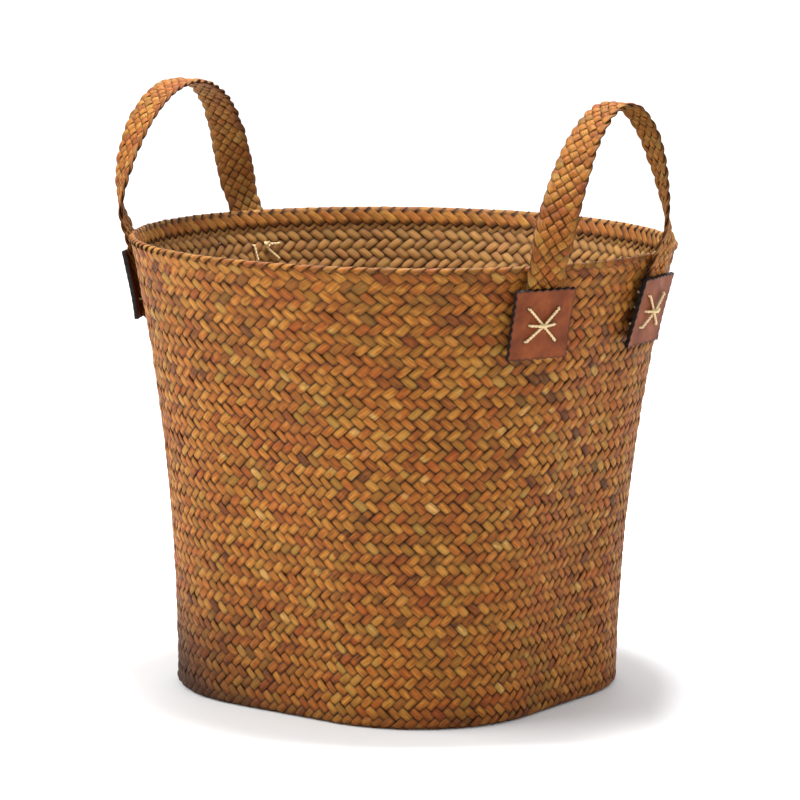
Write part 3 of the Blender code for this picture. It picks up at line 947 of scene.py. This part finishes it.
def build_stitch(handle, end, place, material):
    corners, knot, (across, up, outward) = stitch_corners(handle, end)
    path = smooth_curve(corners, 0.0004, 0.0011)
    stitch = strand_mesh(f"{place}_twine_stitch",
                         *twisted_twine(path, TWINE_LOOK_RADIUS, TWINE_TWIST), material)
    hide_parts(f"{place}_stitch")
    # An overhand knot, which is a trefoil with its two ends cut short.
    t = np.linspace(0, 2 * math.pi, 90)
    size = KNOT_RADIUS * 0.36
    loop = (across * ((np.sin(t) + 2 * np.sin(2 * t)) * size)[:, None]
            + up * ((np.cos(t) - 2 * np.cos(2 * t)) * size)[:, None]
            + outward * (-np.sin(3 * t) * size)[:, None])
    tied = strand_mesh(f"{place}_twine_knot",
                       *twisted_twine(knot + loop, TWINE_RADIUS, KNOT_TWIST), material)
    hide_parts(f"{place}_knot")


# ---------------------------------------------------------------- studio

def build_studio():
    mesh = bpy.data.meshes.new("floor")
    bm = bmesh.new()
    size, back, radius, top = 9.0, 5.0, 1.5, 7.0
    turns = 16
    profile = [(-size, 0.0), (back - radius, 0.0)]
    profile += [(back - radius + radius * math.sin(math.pi / 2 * k / turns),
                 radius - radius * math.cos(math.pi / 2 * k / turns)) for k in range(1, turns + 1)]
    profile.append((back, top))
    rows = [[bm.verts.new((x, y, z)) for y, z in profile] for x in (-size, size)]
    for k in range(len(profile) - 1):
        bm.faces.new((rows[0][k], rows[1][k], rows[1][k + 1], rows[0][k + 1]))
    bm.to_mesh(mesh)
    bm.free()
    mesh.shade_smooth()
    n = Nodes("studio_white")
    n.shader.inputs["Base Color"].default_value = (0.70, 0.705, 0.72, 1)
    n.shader.inputs["Roughness"].default_value = 0.9
    n.shader.inputs["Specular IOR Level"].default_value = 0.1
    mesh.materials.append(n.material)
    floor = bpy.data.objects.new("floor", mesh)
    floor.rotation_euler = (0, 0, CAMERA_AZIMUTH)
    bpy.context.scene.collection.objects.link(floor)

    world = bpy.data.worlds.new("studio")
    world.use_nodes = True
    background = world.node_tree.nodes["Background"]
    background.inputs[0].default_value = (0.98, 0.99, 1.0, 1)
    background.inputs[1].default_value = 0.78
    bpy.context.scene.world = world

    def area(name, azimuth, elevation, distance, size, power, colour=(1, 1, 1), down=False):
        """A square light, placed by its bearing from the camera's own."""
        light = bpy.data.lights.new(name, "AREA")
        light.shape = "SQUARE"
        light.size = size
        light.energy = power
        light.color = colour
        lamp = bpy.data.objects.new(name, light)
        bearing = CAMERA_AZIMUTH + math.radians(azimuth)
        high = math.radians(elevation)
        away = Vector((math.sin(bearing) * math.cos(high), -math.cos(bearing) * math.cos(high),
                       math.sin(high)))
        lamp.location = away * distance + Vector((0, 0, 0.2))
        if not down:
            lamp.rotation_euler = away.to_track_quat("Z", "Y").to_euler()
        bpy.context.scene.collection.objects.link(lamp)

    area("key", -78, 34, 2.8, 2.2, 86, (1.0, 0.985, 0.94))
    area("fill", 40, 18, 2.8, 2.0, 15, (1.0, 0.975, 0.92))
    area("top", 180, 88, 2.5, 0.5, 120)
    area("rear right", 118, 38, 2.6, 1.4, 9, (1.0, 0.985, 0.94))
    area("rear floor", 180, 42, 5.0, 3.0, 110, down=True)


CAMERA_AZIMUTH = math.radians(35.4)
CAMERA_ELEVATION = math.radians(9.9)
CAMERA_DISTANCE = 2.776
CAMERA_ROLL = math.radians(0.72)


def build_camera():
    camera = bpy.data.cameras.new("camera")
    camera.lens = 169.4
    camera.sensor_width = 36.0
    camera.shift_x = -0.0006
    camera.shift_y = 0.0736
    obj = bpy.data.objects.new("camera", camera)
    level = math.cos(CAMERA_ELEVATION)
    back = Vector((math.sin(CAMERA_AZIMUTH) * level, -math.cos(CAMERA_AZIMUTH) * level,
                   math.sin(CAMERA_ELEVATION)))
    right = Vector((0, 0, 1)).cross(back).normalized()
    up = back.cross(right)
    c, s = math.cos(CAMERA_ROLL), math.sin(CAMERA_ROLL)
    right, up = right * c + up * s, up * c - right * s
    place = Vector((0, 0, RIM_HEIGHT / 2)) + back * CAMERA_DISTANCE
    turned = Matrix((right, up, back)).transposed().to_4x4()
    obj.matrix_world = Matrix.Translation(place) @ turned
    bpy.context.scene.collection.objects.link(obj)
    bpy.context.scene.camera = obj
    bpy.context.scene.view_settings.view_transform = "Standard"


# ---------------------------------------------------------------- everything

build_camera()
build_studio()
STRAW = seagrass()
build_wall(STRAW)
build_base(STRAW)
build_straps(STRAW)
HIDE, CREAM = leather(), twine()
for foot_handle, foot_end, foot_name in FEET:
    build_patch(foot_handle, foot_end, foot_name, HIDE)
    build_stitch(foot_handle, foot_end, foot_name, CREAM)
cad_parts["rim_hoop"].data.materials.clear()
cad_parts["rim_hoop"].data.materials.append(cane())
